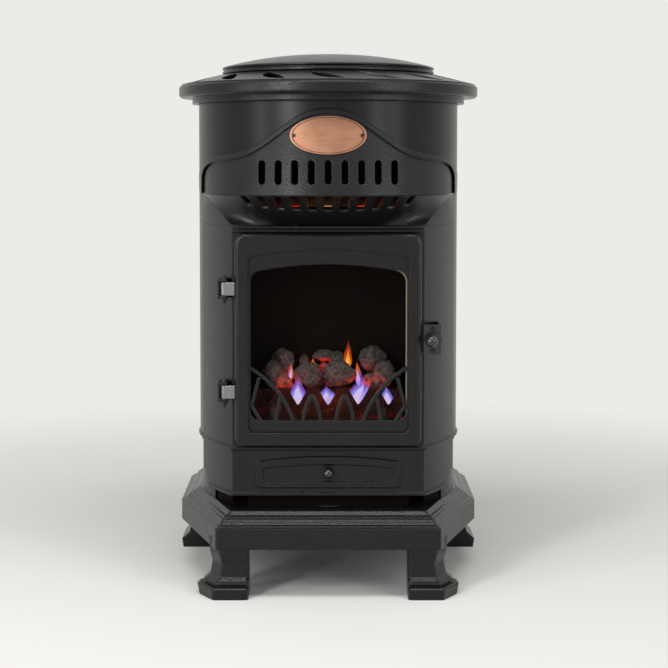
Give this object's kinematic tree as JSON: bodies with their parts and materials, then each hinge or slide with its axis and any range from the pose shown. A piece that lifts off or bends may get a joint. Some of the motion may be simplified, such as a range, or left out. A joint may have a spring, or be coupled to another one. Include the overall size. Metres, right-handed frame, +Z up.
{
  "type": "gas heater",
  "caption": "Round free-standing gas stove heater with a glazed door, slotted hood, hinged lid and moulded base on legs.",
  "frame": {"origin": "on the floor, on the vertical axis of the round cabinet, which is also the middle of the whole heater's footprint", "axes": "+Z up, -Y towards the viewer in front of the door, +X to the viewer's right"},
  "size_m": [0.472, 0.48, 0.7835],
  "materials": {
    "cast_iron_paint": "satin stove paint on sand-cast iron",
    "jacket_paint": "satin black powder paint",
    "inner_steel": "dull dark sheet steel",
    "zinc_steel": "zinc plated steel",
    "burner_steel": "heat-tinted stainless steel",
    "brass_fitting": "turned brass",
    "copper_plate": "brushed copper",
    "glass_pane": "clear heat-resistant glass",
    "rope": "braided glass-fibre rope",
    "ceramic": "moulded ceramic fibre",
    "knob_black": "polished black enamel",
    "control_plastic": "moulded black plastic"
  },
  "bodies": {
    "root": {"base_casting": "cast_iron_paint", "floor_pan": "inner_steel", "lower_drum": "jacket_paint", "trim_bead": "jacket_paint", "jacket": "jacket_paint", "surround_casting": "cast_iron_paint", "lower_panel": "cast_iron_paint", "drawer_knob": "knob_black", "toe_plate": "inner_steel", "hood_casting": "cast_iron_paint", "hood_grille": "cast_iron_paint", "name_plate": "copper_plate", "plate_screws": "zinc_steel", "hinge_brackets": "cast_iron_paint", "hinge_pins": "zinc_steel", "latch_bracket": "knob_black", "latch_screws": "zinc_steel", "firebox": "inner_steel", "heat_shield": "zinc_steel", "burner_tray": "burner_steel", "burner_bar": "burner_steel", "pilot_parts": "burner_steel", "coal_bed": "ceramic", "coals": "ceramic", "louvre_rack": "burner_steel", "top_rim": "cast_iron_paint", "pierced_ring": "cast_iron_paint", "control_tray": "inner_steel", "lid_bracket": "cast_iron_paint", "lid_pin": "zinc_steel", "gas_valve": "brass_fitting", "gas_inlet": "brass_fitting", "gas_pipe": "zinc_steel", "igniter_body": "control_plastic", "rear_hinges": "cast_iron_paint", "rear_pins": "zinc_steel"},
    "door": {"door_frame": "cast_iron_paint", "door_inset": "cast_iron_paint", "glass_gasket": "rope", "door_glass": "glass_pane", "door_rope": "rope", "glass_clips": "zinc_steel"},
    "latch": {"latch_knob": "knob_black"},
    "lid_body": {"lid": "cast_iron_paint"},
    "spindle": {"valve_spindle": "brass_fitting"},
    "knob": {"control_knob": "control_plastic"},
    "igniter": {"igniter_button": "control_plastic"},
    "rear_door_body": {"rear_door": "jacket_paint"},
    "rear_catch_body": {"rear_catch": "knob_black"}
  },
  "joints": [
    {"name": "door_swing", "type": "hinge", "parent": "root", "child": "door", "pos_m": [-0.149, -0.174, 0.3675], "axis": [0, 0, -1], "range_deg": [0, 110]},
    {"name": "latch_turn", "type": "hinge", "parent": "root", "child": "latch", "pos_m": [0.1465, -0.18, 0.369], "axis": [0, 1, 0], "range_deg": [0, 180]},
    {"name": "lid_lift", "type": "hinge", "parent": "root", "child": "lid_body", "pos_m": [0, 0.169, 0.76], "axis": [-1, 0, 0], "range_deg": [0, 95]},
    {"name": "knob_push", "type": "slide", "parent": "root", "child": "spindle", "axis": [0, 0, -1], "range_m": [0, 0.004], "stiffness_N_per_m": 1500, "springref_m": -0.003},
    {"name": "knob_turn", "type": "hinge", "parent": "spindle", "child": "knob", "pos_m": [-0.046, -0.042, 0.72], "axis": [0, 0, 1], "range_deg": [0, 180]},
    {"name": "igniter_push", "type": "slide", "parent": "root", "child": "igniter", "axis": [0, 0, -1], "range_m": [0, 0.005], "stiffness_N_per_m": 800, "springref_m": -0.002},
    {"name": "rear_door_swing", "type": "hinge", "parent": "root", "child": "rear_door_body", "pos_m": [-0.15996, 0.1258, 0.4145], "axis": [0, 0, 1], "range_deg": [0, 110]},
    {"name": "rear_catch_turn", "type": "hinge", "parent": "rear_door_body", "child": "rear_catch_body", "pos_m": [0.12962, 0.15165, 0.416], "axis": [-0.6497, -0.7602, 0], "range_deg": [0, 90]}
  ]
}
